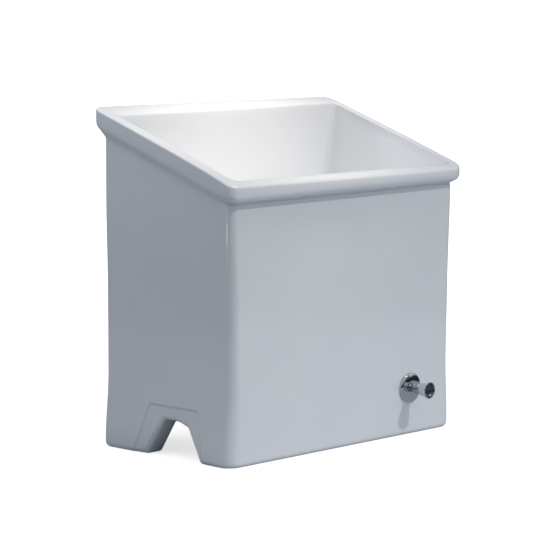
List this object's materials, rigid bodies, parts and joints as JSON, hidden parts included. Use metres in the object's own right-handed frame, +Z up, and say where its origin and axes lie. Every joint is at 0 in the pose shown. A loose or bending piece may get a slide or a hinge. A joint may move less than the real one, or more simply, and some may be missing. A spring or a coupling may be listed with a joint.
{
  "type": "mop sink",
  "caption": "Free-standing pedestal mop sink in glazed fireclay with a sloping rim, side notches and a basket drain worked by a pull knob.",
  "frame": {"origin": "On the axis of the drain, level with the floor that the pedestal stands on, at the lower end of the outlet spigot.", "axes": "+X runs to the right as seen from the front, along the rim's long side. +Y runs from the front, with the knob, to the open back. +Z is up, against the drain's flow."},
  "size_m": [0.54, 0.329, 0.526],
  "materials": {
    "fireclay": "gloss",
    "chrome": "polished",
    "stainless": "brushed",
    "black_plastic": "matte",
    "grey_plastic": "satin",
    "rubber": "matte",
    "brass": "satin"
  },
  "bodies": {
    "sink": {"basin": "fireclay", "pedestal": "fireclay", "waste_flange": "stainless", "valve_seat": "stainless", "upper_seal": "rubber", "lower_washer": "rubber", "back_nut": "grey_plastic", "valve_housing": "black_plastic", "housing_seal": "rubber", "guide_spider": "grey_plastic", "shaft_seal": "rubber", "gland_nut": "grey_plastic", "cable_bracket": "stainless", "bracket_screws": "stainless", "crank_ferrule": "brass", "bowden_sleeve": "black_plastic", "cable_cap": "grey_plastic", "through_bush": "brass", "rosette": "chrome", "rosette_seal": "rubber", "inner_washer": "rubber", "lock_nut": "brass", "slip_nut": "grey_plastic", "slip_washer": "rubber", "tailpiece": "grey_plastic"},
    "pull": {"knob": "chrome", "knob_spindle": "stainless", "grub_screw": "stainless", "knob_wire": "stainless"},
    "wire": {"crank_wire": "stainless", "wire_nipple": "brass"},
    "crank": {"crank_shaft": "stainless", "lifting_cam": "stainless", "crank_arm": "stainless", "crank_screw": "stainless"},
    "lifter": {"lift_pin": "stainless"},
    "strainer": {"basket": "stainless", "basket_rim": "stainless", "basket_stem": "stainless", "valve_seal": "rubber", "seal_washer": "stainless", "seal_holder": "black_plastic"}
  },
  "joints": [
    {"name": "knob_pull", "type": "slide", "parent": "sink", "child": "pull", "axis": [0, -1, 0], "range_m": [0, 0.012]},
    {"name": "wire_run", "type": "slide", "parent": "sink", "child": "wire", "axis": [0, 1, 0], "range_m": [0, 0.012]},
    {"name": "crank_turn", "type": "hinge", "parent": "sink", "child": "crank", "pos_m": [0.074, -0.018, 0.09962], "axis": [1, 0, 0], "range_deg": [0, 28.96]},
    {"name": "valve_lift", "type": "slide", "parent": "sink", "child": "lifter", "axis": [0, 0, 1], "range_m": [0, 0.009]},
    {"name": "basket_lift_out", "type": "slide", "parent": "lifter", "child": "strainer", "axis": [0, 0, 1], "range_m": [0, 0.4]}
  ],
  "couplings": [
    {"joint": "wire_run", "follows": "knob_pull", "ratio": 1},
    {"joint": "crank_turn", "follows": "knob_pull", "rad_per_m": 42.113},
    {"joint": "valve_lift", "follows": "knob_pull", "ratio": 0.75}
  ]
}
